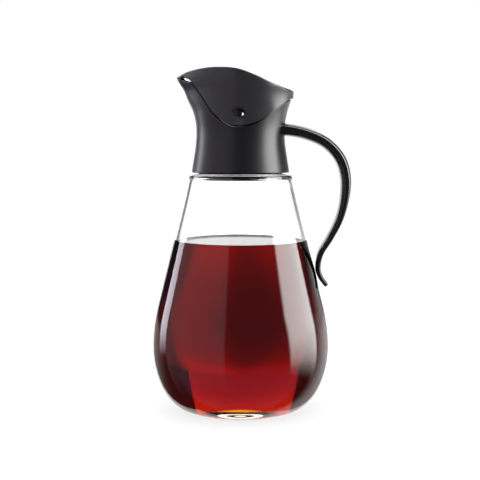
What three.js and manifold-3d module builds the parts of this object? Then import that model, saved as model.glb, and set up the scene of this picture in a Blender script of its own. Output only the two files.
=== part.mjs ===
// Syrup dispenser: a pear-shaped glass jar with a moulded black collar, pouring spout, rocking lid and handle.
// Millimetres, +Z up. The origin is the middle of the foot, -X is the spout side and +X the handle side.
import * as THREE from 'three';
import { mergeVertices } from 'three/addons/utils/BufferGeometryUtils.js';
import Module from 'manifold-3d';

const wasm = await Module();
wasm.setup();

// Driving dimensions
const CLEARANCE = 0.3;
const ROUND_STEPS = 36;
const RING_STEPS = 44;

const JAR = {
  footRadius: 32,
  // Power of the rounded corner between foot and belly, where 2 is an ellipse and 1 a straight chamfer
  cornerPower: 1.9,
  bellyRadius: 51.9,
  bellyHeight: 36,
  bellyArcRadius: 98,
  coneAngle: THREE.MathUtils.degToRad(14.15),
  flareHeight: 118,
  flare: 0.45,
  coneTopHeight: 134.4,
  shoulderRadius: 28.2,
  shoulderHeight: 136.7,
  neckRadius: 24.2,
  neckFilletHeight: 138.2,
  rimHeight: 150,
  wall: 2.3,
  neckWall: 2.6,
  baseThickness: 8,
  innerFloorRadius: 26.5,
  floorDome: 2.5,
};

const SYRUP_LEVEL = 98.4;

// Outline of the collar and of the lid that continues it, as [height, reach from the axis].
const REAR_REACH = [[138, 28.6], [146, 27.3], [153, 26.25], [160, 25.75], [166, 26.0], [173, 27.3], [180, 29.5],
  [187, 31.8]];
const FRONT_REACH = [[138, 28.6], [146, 27.3], [153, 26.25], [160, 25.75], [166, 26.0], [173, 27.6], [180, 30.7],
  [186, 33.2], [190, 35.8], [193, 37.3]];
const SIDE_REACH = [[138, 28.6], [146, 27.3], [153, 26.25], [160, 25.75], [166, 26.1], [173, 27.4], [181, 29.3],
  [190, 31.2], [198, 32]];
// How much narrower the front grows towards the tip of the spout, as a share of its width
const SPOUT_PINCH = [[160, 0], [170, 0.04], [182, 0.4], [192, 0.62], [198, 0.66]];

const COLLAR = {
  bottom: 138,
  wall: 2.3,
  socketRadius: JAR.neckRadius + CLEARANCE,
  shelfBottom: JAR.rimHeight + CLEARANCE,
  shelfTop: 152,
  shelfRadius: 22,
  throatBottom: 153.2,
};

// Side view of the seam between collar and lid, and of the lid's top, as [x, height]
const SEAM = [[-37.4, 192.3], [-33.4, 192.4], [-28.6, 190.8], [-26.5, 188.2], [-22.4, 182.1], [-15.6, 171.9],
  [-7.1, 165.6], [0, 164.7], [10.6, 167.7], [20.9, 175.5], [28.1, 180.2], [31, 180.8]];
const LID_TOP = [[-37.4, 192.8], [-36.2, 193.7], [-31.6, 195.8], [-24, 197.3], [-15, 197.8], [-2, 196.7],
  [8.7, 193.1], [17.8, 189.1], [24, 187.1], [31.4, 185.7]];

const LID = {
  wall: 1.6,
  rearWall: 1.05,
  topThickness: 1.5,
  seamGap: 0.7,
  slitGap: 0.95,
  slitFrom: -33.2,
  slitTo: -28.8,
  tipGap: 0.3,
  // The rear half stands outside the collar, so that it can pass down over the rim.
  flankStep: 2,
  rearStep: 1.05,
  stepHeight: 6,
  stepFrom: -4,
  stepTo: 3,
  flankEnd: 17,
  rearStart: 28,
};

const HINGE = { x: -1, z: 172.2, pinRadius: 2, boreRadius: 2.3, eyeLength: 6.4, eyeHeight: 4.4, eyeDepth: 0.8 };
const EAR = { gap: 0.45, thickness: 2.2, radius: 6, bottom: 159 };

// Middle line of the handle in the plane y = 0, with its thickness and width at equal steps from root to tail
const HANDLE_LINE = [[18, 163.4], [27.9, 162.7], [39.1, 160.2], [49.9, 155], [58, 145.9], [61.5, 134.7],
  [60.9, 122.5], [57.6, 110.3], [52, 99.2], [46.8, 90.4], [45.4, 82], [46.9, 76.7], [50.2, 72]];
const HANDLE_THICKNESS = [[0, 7.8], [0.1, 7.5], [0.25, 7], [0.45, 6.5], [0.6, 5], [0.75, 4.1], [0.86, 3.6], [1, 2.8]];
const HANDLE_WIDTH = [[0, 24], [0.1, 23.2], [0.25, 21.5], [0.5, 19], [0.75, 15.5], [1, 12]];
const TENON = { from: 22.6, to: 29, width: 12, height: 4, z: 162.4 };

const FINISH = {
  glass: { color: 0xe8efee, roughness: 0.03, metalness: 0, transparent: true, opacity: 0.35 },
  syrup: { color: 0x5a1210, roughness: 0.15, metalness: 0 },
  satinBlack: { color: 0x2a292c, roughness: 0.45, metalness: 0 },
  glossBlack: { color: 0x1b1a1d, roughness: 0.25, metalness: 0 },
};

// Shape helpers

function smoothThrough(stations) {
  const last = stations.length - 1;
  const slopes = stations.map((_, i) => {
    const before = stations[Math.max(i - 1, 0)];
    const after = stations[Math.min(i + 1, last)];
    return (after[1] - before[1]) / (after[0] - before[0]);
  });
  return (at) => {
    let i = last - 1;
    while (i > 0 && at < stations[i][0]) i -= 1;
    const [x0, y0] = stations[i];
    const [x1, y1] = stations[i + 1];
    const span = x1 - x0;
    const t = THREE.MathUtils.clamp((at - x0) / span, 0, 1);
    const rise = t * t * (3 - 2 * t);
    const startPull = t * (1 - t) * (1 - t) * slopes[i] * span;
    const endPull = t * t * (t - 1) * slopes[i + 1] * span;
    return y0 + (y1 - y0) * rise + startPull + endPull;
  };
}

function toSolid(geometry) {
  const bare = geometry.clone();
  bare.deleteAttribute('normal');
  bare.deleteAttribute('uv');
  const merged = mergeVertices(bare, 1e-4);
  return new wasm.Manifold(new wasm.Mesh({
    numProp: 3,
    vertProperties: new Float32Array(merged.attributes.position.array),
    triVerts: new Uint32Array(merged.index.array),
  }));
}

function toGeometry(solid) {
  const mesh = solid.getMesh();
  const geometry = new THREE.BufferGeometry();
  geometry.setAttribute('position', new THREE.BufferAttribute(mesh.vertProperties, 3));
  geometry.setIndex(new THREE.BufferAttribute(mesh.triVerts, 1));
  return geometry;
}

// A closed body through rings of points, each anticlockwise from above. A ring of one point closes an end.
function ringBody(rings) {
  const positions = [];
  const starts = [];
  for (const ring of rings) {
    starts.push(positions.length / 3);
    for (const point of ring) positions.push(point.x, point.y, point.z);
  }
  const index = [];
  for (let r = 0; r + 1 < rings.length; r += 1) {
    const lower = rings[r].length;
    const upper = rings[r + 1].length;
    const steps = Math.max(lower, upper);
    for (let i = 0; i < steps; i += 1) {
      const next = (i + 1) % steps;
      const a = starts[r] + (lower === 1 ? 0 : i);
      const b = starts[r] + (lower === 1 ? 0 : next);
      const c = starts[r + 1] + (upper === 1 ? 0 : next);
      const d = starts[r + 1] + (upper === 1 ? 0 : i);
      if (lower > 1) index.push(a, b, c);
      if (upper > 1) index.push(a, c, d);
    }
  }
  const geometry = new THREE.BufferGeometry();
  geometry.setAttribute('position', new THREE.Float32BufferAttribute(positions, 3));
  geometry.setIndex(index);
  return geometry;
}

function turned(profile) {
  const geometry = new THREE.LatheGeometry(profile, ROUND_STEPS);
  geometry.rotateX(Math.PI / 2);
  geometry.deleteAttribute('normal');
  geometry.deleteAttribute('uv');
  return mergeVertices(geometry, 1e-4);
}

function arcPoints(centreX, centreY, radiusX, radiusY, from, to, steps) {
  return Array.from({ length: steps + 1 }, (_, i) => {
    const angle = THREE.MathUtils.degToRad(from + (to - from) * (i / steps));
    return new THREE.Vector2(centreX + radiusX * Math.cos(angle), centreY + radiusY * Math.sin(angle));
  });
}

// Jar

const coneStartRadius = JAR.bellyRadius - JAR.bellyArcRadius * (1 - Math.cos(JAR.coneAngle));
const coneStartHeight = JAR.bellyHeight + JAR.bellyArcRadius * Math.sin(JAR.coneAngle);

function coneRadius(height) {
  return coneStartRadius - Math.tan(JAR.coneAngle) * (height - coneStartHeight);
}

// The rounded corner from a level floor out to the belly
function cornerPoints(floorRadius, floor, reach, steps) {
  return Array.from({ length: steps + 1 }, (_, i) => {
    const angle = (i / steps) * (Math.PI / 2);
    const out = Math.sin(angle) ** (2 / JAR.cornerPower);
    const down = Math.cos(angle) ** (2 / JAR.cornerPower);
    return new THREE.Vector2(floorRadius + (reach - floorRadius) * out,
      JAR.bellyHeight - (JAR.bellyHeight - floor) * down);
  });
}

function jarOuterProfile() {
  const coneDegrees = THREE.MathUtils.radToDeg(JAR.coneAngle);
  const belly = { x: JAR.bellyRadius - JAR.bellyArcRadius, y: JAR.bellyHeight };
  const topRadius = coneRadius(JAR.coneTopHeight) + JAR.flare;
  return [
    new THREE.Vector2(0, 0),
    ...cornerPoints(JAR.footRadius, 0, JAR.bellyRadius, 9),
    ...arcPoints(belly.x, belly.y, JAR.bellyArcRadius, JAR.bellyArcRadius, 0, coneDegrees, 4).slice(1),
    new THREE.Vector2(coneRadius(JAR.flareHeight), JAR.flareHeight),
    new THREE.Vector2(topRadius, JAR.coneTopHeight),
    new THREE.Vector2(topRadius - 0.75, JAR.shoulderHeight - 0.8),
    new THREE.Vector2(JAR.shoulderRadius, JAR.shoulderHeight),
    new THREE.Vector2(JAR.neckRadius + 0.9, JAR.shoulderHeight + 0.35),
    new THREE.Vector2(JAR.neckRadius, JAR.neckFilletHeight),
    new THREE.Vector2(JAR.neckRadius, JAR.rimHeight - 0.8),
    new THREE.Vector2(JAR.neckRadius - 0.8, JAR.rimHeight),
  ];
}

// The inside of the glass from the middle of its domed floor up to the cone, set in by an extra distance
function jarInnerCurve(inset) {
  const reach = JAR.bellyRadius - JAR.wall - inset;
  const floor = JAR.baseThickness + inset;
  const arcRadius = JAR.bellyArcRadius - JAR.wall - inset;
  const coneDegrees = THREE.MathUtils.radToDeg(JAR.coneAngle);
  return [
    new THREE.Vector2(0, floor + JAR.floorDome),
    new THREE.Vector2(JAR.innerFloorRadius / 2, floor + JAR.floorDome / 2),
    ...cornerPoints(JAR.innerFloorRadius, floor, reach, 7),
    ...arcPoints(JAR.bellyRadius - JAR.bellyArcRadius, JAR.bellyHeight, arcRadius, arcRadius, 0, coneDegrees, 4).slice(1),
  ];
}

function innerConeRadius(height, inset) {
  return coneRadius(height) - (JAR.wall + inset) / Math.cos(JAR.coneAngle);
}

function jarGeometry() {
  const neckInside = JAR.neckRadius - JAR.neckWall;
  const inside = [
    ...jarInnerCurve(0),
    new THREE.Vector2(innerConeRadius(JAR.flareHeight, 0), JAR.flareHeight),
    new THREE.Vector2(innerConeRadius(130, 0) + 0.25, 130),
    new THREE.Vector2(innerConeRadius(133, 0) - 0.4, 133),
    new THREE.Vector2(neckInside + 1.6, 136),
    new THREE.Vector2(neckInside, 139.5),
    new THREE.Vector2(neckInside, JAR.rimHeight - 0.8),
    new THREE.Vector2(neckInside + 0.8, JAR.rimHeight),
  ];
  return turned([...jarOuterProfile(), ...inside.reverse()]);
}

function syrupGeometry() {
  return turned([
    ...jarInnerCurve(CLEARANCE),
    new THREE.Vector2(innerConeRadius(SYRUP_LEVEL, CLEARANCE), SYRUP_LEVEL),
    new THREE.Vector2(0, SYRUP_LEVEL),
  ]);
}

// Collar and lid share one flared body, drawn out to a spout at the front

const rearReach = smoothThrough(REAR_REACH);
const frontReach = smoothThrough(FRONT_REACH);
const sideReach = smoothThrough(SIDE_REACH);
const spoutPinch = smoothThrough(SPOUT_PINCH);
const seamHeight = smoothThrough(SEAM);
const lidTopHeight = smoothThrough(LID_TOP);

function bodyPoint(turn, z, inset) {
  const along = Math.cos(turn);
  const across = Math.sin(turn);
  if (along >= 0) {
    return new THREE.Vector3((rearReach(z) - inset) * along, (sideReach(z) - inset) * across, z);
  }
  const width = sideReach(z) * (1 - spoutPinch(z) * along * along) - inset;
  return new THREE.Vector3((frontReach(z) - inset) * along, width * across, z);
}

function ring(place) {
  return Array.from({ length: RING_STEPS }, (_, i) => place((i / RING_STEPS) * Math.PI * 2));
}

// Where the body's surface at one turn crosses a line drawn in side view
function crossingHeight(turn, lineHeight) {
  let z = HINGE.z;
  for (let pass = 0; pass < 12; pass += 1) z = (z + lineHeight(bodyPoint(turn, z, 0).x)) / 2;
  return z;
}

function seamGapAt(x) {
  if (x < LID.slitFrom) return LID.tipGap;
  return x < LID.slitTo ? LID.slitGap : LID.seamGap;
}

const collarRim = (turn) => crossingHeight(turn, (x) => seamHeight(x) - seamGapAt(x) / 2);
const lidEdge = (turn) => crossingHeight(turn, (x) => seamHeight(x) + seamGapAt(x) / 2);

function lidTop(turn) {
  return Math.max(crossingHeight(turn, lidTopHeight), lidEdge(turn) + 0.4);
}

function rearShare(x) {
  return THREE.MathUtils.smoothstep(x, LID.stepFrom, LID.stepTo);
}

function lidStep(x) {
  const towardsRear = THREE.MathUtils.smoothstep(x, LID.flankEnd, LID.rearStart);
  return rearShare(x) * THREE.MathUtils.lerp(LID.flankStep, LID.rearStep, towardsRear);
}

function lidPoint(turn, z, inset) {
  const rise = THREE.MathUtils.clamp((z - lidEdge(turn)) / LID.stepHeight, 0, 1);
  const step = lidStep(bodyPoint(turn, z, 0).x) * (1 - rise) * (1 - rise);
  return bodyPoint(turn, z, inset - step);
}

function lidWall(turn) {
  return THREE.MathUtils.lerp(LID.wall, LID.rearWall, rearShare(bodyPoint(turn, HINGE.z, 0).x));
}

function shareOf(low, high, share) {
  return low + (high - low) * share;
}

// Rings across the lid's top, which is curved along X and straight across
function topRings(edgeRing, drop, steps) {
  const centre = new THREE.Vector2(-3, 0);
  const rings = Array.from({ length: steps - 1 }, (_, i) => edgeRing.map((edge) => {
    const share = (i + 1) / steps;
    const x = shareOf(edge.x, centre.x, share);
    const edgeOffset = edge.z - (lidTopHeight(edge.x) - drop);
    return new THREE.Vector3(x, shareOf(edge.y, centre.y, share), lidTopHeight(x) - drop + edgeOffset * (1 - share));
  }));
  rings.push([new THREE.Vector3(centre.x, centre.y, lidTopHeight(centre.x) - drop)]);
  return rings;
}

function hoodBody() {
  const shares = [0, 0.06, 0.16, 0.32, 0.55, 0.8, 1];
  const sides = shares.map((share) => ring((turn) => lidPoint(turn, shareOf(lidEdge(turn), lidTop(turn), share), 0)));
  const inner = ring((turn) => lidPoint(turn, lidEdge(turn), 3));
  return ringBody([[new THREE.Vector3(0, 0, 176)], inner, ...sides, ...topRings(sides.at(-1), 0, 4)]);
}

function hoodSpace() {
  const lowest = 155;
  const ceiling = (turn) => lidTop(turn) - LID.topThickness;
  const shares = [0, 0.15, 0.3, 0.45, 0.6, 0.75, 0.9, 1];
  const sides = shares.map((share) => ring((turn) => {
    const z = shareOf(lowest, Math.max(ceiling(turn), lidEdge(turn) - 0.5), share);
    return lidPoint(turn, z, lidWall(turn));
  }));
  return ringBody([[new THREE.Vector3(0, 0, lowest)], ...sides, ...topRings(sides.at(-1), LID.topThickness, 4)]);
}

function pinCylinder(radius, from, to) {
  const geometry = new THREE.CylinderGeometry(radius, radius, Math.abs(to - from), 20);
  return geometry.translate(HINGE.x, (from + to) / 2, HINGE.z);
}

const hingeReach = sideReach(HINGE.z);

function lidGeometry() {
  let lid = toSolid(hoodBody()).subtract(toSolid(hoodSpace()));
  for (const side of [-1, 1]) {
    lid = lid.subtract(toSolid(pinCylinder(HINGE.boreRadius, side * (hingeReach - 4), side * (hingeReach + 4))));
    const eye = pinCylinder(1, side * (hingeReach - HINGE.eyeDepth), side * (hingeReach + 4));
    eye.translate(-HINGE.x, 0, -HINGE.z).scale(HINGE.eyeLength / 2, 1, HINGE.eyeHeight / 2 + 0.2);
    lid = lid.subtract(toSolid(eye.translate(HINGE.x, 0, HINGE.z)));
  }
  return toGeometry(lid);
}

function collarShell() {
  const shares = [0, 0.1, 0.25, 0.4, 0.55, 0.7, 0.85, 1];
  const sides = shares.map((share) => ring((turn) => {
    return bodyPoint(turn, shareOf(COLLAR.bottom, collarRim(turn), share), 0);
  }));
  const rim = ring((turn) => bodyPoint(turn, collarRim(turn), COLLAR.wall + 0.5));
  return toSolid(ringBody([[new THREE.Vector3(0, 0, COLLAR.bottom)], ...sides, rim, [new THREE.Vector3(0, 0, 168)]]));
}

function collarSpace() {
  const top = 200;
  const heights = [COLLAR.throatBottom, 157, 161, 165, 169, 173, 177, 181, 185, 189, 193, top];
  const throat = heights.map((z) => ring((turn) => bodyPoint(turn, z, COLLAR.wall)));
  const round = (radius, z) => ring((turn) => new THREE.Vector3(radius * Math.cos(turn), radius * Math.sin(turn), z));
  return toSolid(ringBody([
    [new THREE.Vector3(0, 0, COLLAR.bottom - 1)],
    round(COLLAR.socketRadius, COLLAR.bottom - 1),
    round(COLLAR.socketRadius, COLLAR.shelfBottom),
    round(COLLAR.shelfRadius, COLLAR.shelfBottom),
    round(COLLAR.shelfRadius, COLLAR.shelfTop),
    ...throat,
    [new THREE.Vector3(0, 0, top)],
  ]));
}

// The two ears stand up inside the lid and carry the hinge pins.
function hingeEars() {
  const outer = LID.wall + EAR.gap;
  const layer = (inset) => {
    const heights = [EAR.bottom, 164, 169, 174, HINGE.z + EAR.radius + 1];
    const rings = heights.map((z) => ring((turn) => bodyPoint(turn, z, inset)));
    return toSolid(ringBody([[new THREE.Vector3(0, 0, EAR.bottom)], ...rings,
      [new THREE.Vector3(0, 0, HINGE.z + EAR.radius + 1)]]));
  };
  const outline = new THREE.Shape();
  outline.moveTo(HINGE.x - EAR.radius, EAR.bottom);
  outline.lineTo(HINGE.x + EAR.radius, EAR.bottom);
  outline.lineTo(HINGE.x + EAR.radius, HINGE.z);
  outline.absarc(HINGE.x, HINGE.z, EAR.radius, 0, Math.PI, false);
  const span = 80;
  const tongue = new THREE.ExtrudeGeometry(outline, { depth: span, bevelEnabled: false, curveSegments: 10 });
  tongue.translate(0, 0, -span / 2).rotateX(Math.PI / 2);
  return layer(outer).subtract(layer(outer + EAR.thickness)).intersect(toSolid(tongue));
}

function tenonBody(gap) {
  const length = TENON.to - TENON.from + 2 * gap;
  const block = new THREE.BoxGeometry(length, TENON.width + 2 * gap, TENON.height + 2 * gap);
  return toSolid(block.translate((TENON.from + TENON.to) / 2, 0, TENON.z));
}

function collarGeometry() {
  let collar = collarShell().subtract(collarSpace()).add(hingeEars());
  for (const side of [-1, 1]) {
    collar = collar.subtract(toSolid(pinCylinder(HINGE.boreRadius, side * 15, side * 40)));
  }
  return toGeometry(collar.subtract(tenonBody(CLEARANCE)));
}

function pinGeometry(side) {
  const face = side * (hingeReach - HINGE.eyeDepth);
  const inside = side * (hingeReach - LID.wall - EAR.gap - EAR.thickness);
  return pinCylinder(HINGE.pinRadius, inside, face);
}

// Handle

const handleThickness = smoothThrough(HANDLE_THICKNESS);
const handleWidth = smoothThrough(HANDLE_WIDTH);

function handleSweep() {
  const line = new THREE.CatmullRomCurve3(HANDLE_LINE.map(([x, z]) => new THREE.Vector3(x, 0, z)));
  const steps = 28;
  const corners = 12;
  const section = (share) => {
    const middle = line.getPointAt(share);
    const ahead = line.getTangentAt(share);
    const outward = new THREE.Vector3(-ahead.z, 0, ahead.x);
    return Array.from({ length: corners }, (_, i) => {
      const angle = ((i + 0.5) / corners) * Math.PI * 2;
      const across = Math.sign(Math.cos(angle)) * Math.abs(Math.cos(angle)) ** 0.7;
      const through = Math.sign(Math.sin(angle)) * Math.abs(Math.sin(angle)) ** 0.7;
      return middle.clone()
        .addScaledVector(outward, (through * handleThickness(share)) / 2)
        .add(new THREE.Vector3(0, (across * handleWidth(share)) / 2, 0));
    });
  };
  const rings = Array.from({ length: steps + 1 }, (_, i) => section(i / steps));
  return ringBody([[line.getPointAt(0)], ...rings, [line.getPointAt(1)]]);
}

function bodyWithin(gap) {
  const heights = [150, 155, 160, 165, 170, 175];
  const rings = heights.map((z) => ring((turn) => bodyPoint(turn, z, -gap)));
  return toSolid(ringBody([[new THREE.Vector3(0, 0, heights[0])], ...rings,
    [new THREE.Vector3(0, 0, heights.at(-1))]]));
}

function handleGeometry() {
  return toGeometry(toSolid(handleSweep()).subtract(bodyWithin(CLEARANCE)).add(tenonBody(0)));
}

// Assembly

const dispenser = new THREE.Group();

function addPiece(parent, name, geometry, finish) {
  geometry.computeVertexNormals();
  const mesh = new THREE.Mesh(geometry, new THREE.MeshStandardMaterial(finish));
  mesh.name = name;
  parent.add(mesh);
}

const head = new THREE.Group();
addPiece(dispenser, 'glass_jar', jarGeometry(), FINISH.glass);
addPiece(dispenser, 'syrup', syrupGeometry(), FINISH.syrup);
addPiece(head, 'collar', collarGeometry(), FINISH.satinBlack);
addPiece(head, 'lid', lidGeometry(), FINISH.satinBlack);
addPiece(head, 'pin_near', pinGeometry(-1), FINISH.glossBlack);
addPiece(head, 'pin_far', pinGeometry(1), FINISH.glossBlack);
addPiece(head, 'handle', handleGeometry(), FINISH.glossBlack);
dispenser.add(head);

export default dispenser;
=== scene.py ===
"""Looks of the syrup dispenser: pressed glass jar, dark syrup, moulded black collar, lid, pins and handle."""

from __future__ import annotations

import logging
import math
from dataclasses import dataclass, field
from enum import Enum
from typing import Callable, Sequence

import bmesh
import bpy
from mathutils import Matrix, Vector


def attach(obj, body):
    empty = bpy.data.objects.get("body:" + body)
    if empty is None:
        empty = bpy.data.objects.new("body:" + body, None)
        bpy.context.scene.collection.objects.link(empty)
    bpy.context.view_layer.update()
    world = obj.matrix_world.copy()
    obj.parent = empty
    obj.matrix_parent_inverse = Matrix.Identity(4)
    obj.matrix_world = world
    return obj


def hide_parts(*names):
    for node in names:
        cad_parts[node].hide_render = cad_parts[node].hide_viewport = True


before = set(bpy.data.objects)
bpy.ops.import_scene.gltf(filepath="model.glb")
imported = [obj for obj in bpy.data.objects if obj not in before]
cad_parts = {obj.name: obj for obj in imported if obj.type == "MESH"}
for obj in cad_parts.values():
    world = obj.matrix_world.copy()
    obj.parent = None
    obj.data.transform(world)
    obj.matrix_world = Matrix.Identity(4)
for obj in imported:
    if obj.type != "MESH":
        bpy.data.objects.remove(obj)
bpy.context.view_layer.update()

MM = 0.001
LOG = logging.getLogger("dispenser")

Station = tuple[float, float]
Span = tuple[float, float]
Ring = list[Vector]
Curve = Callable[[float], float]

# The kinds of node used most, and values that many of them share
MATH = "ShaderNodeMath"
RANGE = "ShaderNodeMapRange"
BACKGROUND = "ShaderNodeBackground"
SMOOTH = {"interpolation_type": "SMOOTHSTEP"}
WHITE = (1, 1, 1, 1)


class Body(Enum):
    """The bodies of the frame that pieces ride on."""

    JUG = "jug"
    LID = "lid"


class Side(Enum):
    """The two sides of the dispenser, by the sign of Y."""

    NEAR = -1
    FAR = 1


def smooth_through(stations: Sequence[Station]) -> Curve:
    """Make a smooth curve through stations.

    Args:
        stations: Pairs of place and value, in rising order of place.

    Returns:
        A function from place to value, level beyond the ends.
    """
    last = len(stations) - 1
    slopes = []
    for i in range(last + 1):
        before, after = stations[max(i - 1, 0)], stations[min(i + 1, last)]
        slopes.append((after[1] - before[1]) / (after[0] - before[0]))

    def value(at: float) -> float:
        """Read the curve at one place.

        Args:
            at: The place.

        Returns:
            The value there.
        """
        i = last - 1
        while i > 0 and at < stations[i][0]:
            i -= 1
        (x0, y0), (x1, y1) = stations[i], stations[i + 1]
        span = x1 - x0
        t = min(max((at - x0) / span, 0.0), 1.0)
        rise = t * t * (3 - 2 * t)
        start_pull = t * (1 - t) ** 2 * slopes[i] * span
        end_pull = t * t * (t - 1) * slopes[i + 1] * span
        return y0 + (y1 - y0) * rise + start_pull + end_pull

    return value


def smoothstep(value: float, low: float, high: float) -> float:
    """Rise smoothly from 0 at low to 1 at high."""
    t = min(max((value - low) / (high - low), 0.0), 1.0)
    return t * t * (3 - 2 * t)


def mix(low: float, high: float, share: float) -> float:
    """Blend two numbers by a share from 0 to 1."""
    return low + (high - low) * share


def linear(hex_colour: str) -> tuple[float, float, float, float]:
    """Turn an sRGB hex colour into linear RGBA.

    Args:
        hex_colour: Six hex digits after a hash sign.

    Returns:
        Linear red, green and blue, with alpha 1.
    """
    channels = [int(hex_colour[i : i + 2], 16) / 255 for i in (1, 3, 5)]
    flat = [c / 12.92 if c <= 0.04045 else ((c + 0.055) / 1.055) ** 2.4 for c in channels]
    return (flat[0], flat[1], flat[2], 1.0)


def add_node(
    tree: bpy.types.NodeTree,
    kind: str,
    settings: dict[str, object] | None = None,
    links: dict[str, object] | None = None,
) -> bpy.types.Node:
    """Add a node with its settings and links.

    Args:
        tree: The node tree.
        kind: The node's type name.
        settings: Attributes by name, and socket values by "in:NAME" or "in:INDEX".
        links: Output sockets that feed the inputs, by input name or index.

    Returns:
        The new node.
    """
    node = tree.nodes.new(kind)
    for name, value in (settings or {}).items():
        if name.startswith("in:"):
            key = name[3:]
            node.inputs[int(key) if key.isdigit() else key].default_value = value
        else:
            setattr(node, name, value)
    for name, source in (links or {}).items():
        tree.links.new(source, node.inputs[int(name) if name.isdigit() else name])
    return node


def start_material(name: str) -> tuple[bpy.types.Material, bpy.types.NodeTree, bpy.types.Node]:
    """Make an empty node material.

    Args:
        name: The material's name.

    Returns:
        The material, its tree and its output node.
    """
    material = bpy.data.materials.new(name)
    material.use_nodes = True
    material.node_tree.nodes.clear()
    output = material.node_tree.nodes.new("ShaderNodeOutputMaterial")
    return material, material.node_tree, output


# Finishes


@dataclass(frozen=True)
class MouldedPlastic:
    """Injection-moulded ABS: an even dark body, with a fine spark-eroded texture that spreads highlights."""

    name: str
    colour: str
    light_patch: str
    roughness: float
    roughness_spread: float
    grain_mm: float
    grain_depth_mm: float
    grain_strength: float = 0.5
    drift_mm: float = 25
    ior: float = 1.53

    def material(self) -> bpy.types.Material:
        """Build the node material.

        Returns:
            The material.
        """
        material, tree, output = start_material(self.name)
        place = add_node(tree, "ShaderNodeTexCoord").outputs["Object"]
        # Slow unevenness of the moulding
        slow = {"in:Scale": 1 / (self.drift_mm * MM), "in:Detail": 2.0}
        drift = add_node(tree, "ShaderNodeTexNoise", slow, {"Vector": place})
        # The real texture is about 0.05 mm, too fine to show, so it is drawn at grain_mm
        fine = {"in:Scale": 1 / (self.grain_mm * MM), "in:Detail": 3.0}
        grain = add_node(tree, "ShaderNodeTexNoise", fine, {"Vector": place})
        colour = add_node(
            tree,
            "ShaderNodeMix",
            {"data_type": "RGBA", "in:6": linear(self.colour), "in:7": linear(self.light_patch)},
            {"0": drift.outputs["Fac"]},
        )
        roughness = add_node(
            tree,
            RANGE,
            {
                "in:To Min": self.roughness - self.roughness_spread,
                "in:To Max": self.roughness + self.roughness_spread,
            },
            {"Value": drift.outputs["Fac"]},
        )
        bump = add_node(
            tree,
            "ShaderNodeBump",
            {"in:Strength": self.grain_strength, "in:Distance": self.grain_depth_mm * MM},
            {"Height": grain.outputs["Fac"]},
        )
        shader = add_node(
            tree,
            "ShaderNodeBsdfPrincipled",
            {"in:IOR": self.ior},
            {
                "Base Color": colour.outputs["Result"],
                "Roughness": roughness.outputs["Result"],
                "Normal": bump.outputs["Normal"],
            },
        )
        tree.links.new(shader.outputs["BSDF"], output.inputs["Surface"])
        return material


@dataclass(frozen=True)
class PressedGlass:
    """Soda-lime glass, pressed and fire-polished: clear, with a faint waviness that bends its highlights."""

    name: str
    colour: str = "#ffffff"
    wave_mm: float = 38.0
    wave_depth_mm: float = 0.12
    wave_strength: float = 0.3
    ior: float = 1.5

    def material(self) -> bpy.types.Material:
        """Build the node material.

        Returns:
            The material.
        """
        material, tree, output = start_material(self.name)
        place = add_node(tree, "ShaderNodeTexCoord").outputs["Object"]
        slow = {"in:Scale": 1 / (self.wave_mm * MM), "in:Detail": 1.0}
        wave = add_node(tree, "ShaderNodeTexNoise", slow, {"Vector": place})
        bump = add_node(
            tree,
            "ShaderNodeBump",
            {"in:Strength": self.wave_strength, "in:Distance": self.wave_depth_mm * MM},
            {"Height": wave.outputs["Fac"]},
        )
        shader = add_node(
            tree,
            "ShaderNodeBsdfPrincipled",
            {
                "in:Base Color": linear(self.colour),
                "in:Roughness": 0.0,
                "in:IOR": self.ior,
                "in:Transmission Weight": 1.0,
            },
            {"Normal": bump.outputs["Normal"]},
        )
        tree.links.new(shader.outputs["BSDF"], output.inputs["Surface"])
        return material


@dataclass(frozen=True)
class DarkSyrup:
    """Boiled sugar syrup: clear and dark red-brown through its depth, with a wet surface."""

    name: str
    colour: str = "#ffffff"
    ior: float = 1.47
    depth_colour: str = "#f5d500"
    density_per_m: float = 228.0

    def material(self) -> bpy.types.Material:
        """Build the node material.

        Returns:
            The material.
        """
        material, tree, output = start_material(self.name)
        shader = add_node(
            tree,
            "ShaderNodeBsdfPrincipled",
            {
                "in:Base Color": linear(self.colour),
                "in:Roughness": 0.0,
                "in:IOR": self.ior,
                "in:Transmission Weight": 1.0,
            },
        )
        depth = add_node(
            tree,
            "ShaderNodeVolumeAbsorption",
            {"in:Color": linear(self.depth_colour), "in:Density": self.density_per_m},
        )
        tree.links.new(shader.outputs["BSDF"], output.inputs["Surface"])
        tree.links.new(depth.outputs["Volume"], output.inputs["Volume"])
        return material


CLEAR_GLASS = PressedGlass(name="pressed_soda_lime_glass")
# Where syrup wets the glass, light only bends by the ratio of the two indices, and hardly any is thrown back.
WETTED_GLASS = PressedGlass(name="soda_lime_glass_wetted_by_syrup", ior=1.02)
SYRUP_SURFACE = DarkSyrup(name="boiled_sugar_syrup")
SYRUP_ON_GLASS = DarkSyrup(name="boiled_sugar_syrup_on_glass", ior=1.0)
SATIN_ABS = MouldedPlastic(
    name="satin_moulded_abs",
    colour="#08070a",
    light_patch="#0c0b0d",
    roughness=0.34,
    roughness_spread=0.03,
    grain_mm=0.5,
    grain_depth_mm=0.02,
)
# The lid is a moulding of its own. Its colour is painted a shade lighter than the collar's: painted light
# that stands in for light falling on the lid, which the studio's lights don't give
PAINTED_LIGHTER_LID_ABS = MouldedPlastic(
    name="lid_abs_painted_lighter",
    colour="#1e1d20",
    light_patch="#232225",
    roughness=0.34,
    roughness_spread=0.03,
    grain_mm=0.5,
    grain_depth_mm=0.02,
)
POLISHED_ABS = MouldedPlastic(
    name="polished_moulded_abs",
    colour="#080708",
    light_patch="#0b0a0b",
    roughness=0.2,
    roughness_spread=0.03,
    grain_mm=1.2,
    grain_depth_mm=0.01,
)


# Meshes


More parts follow.
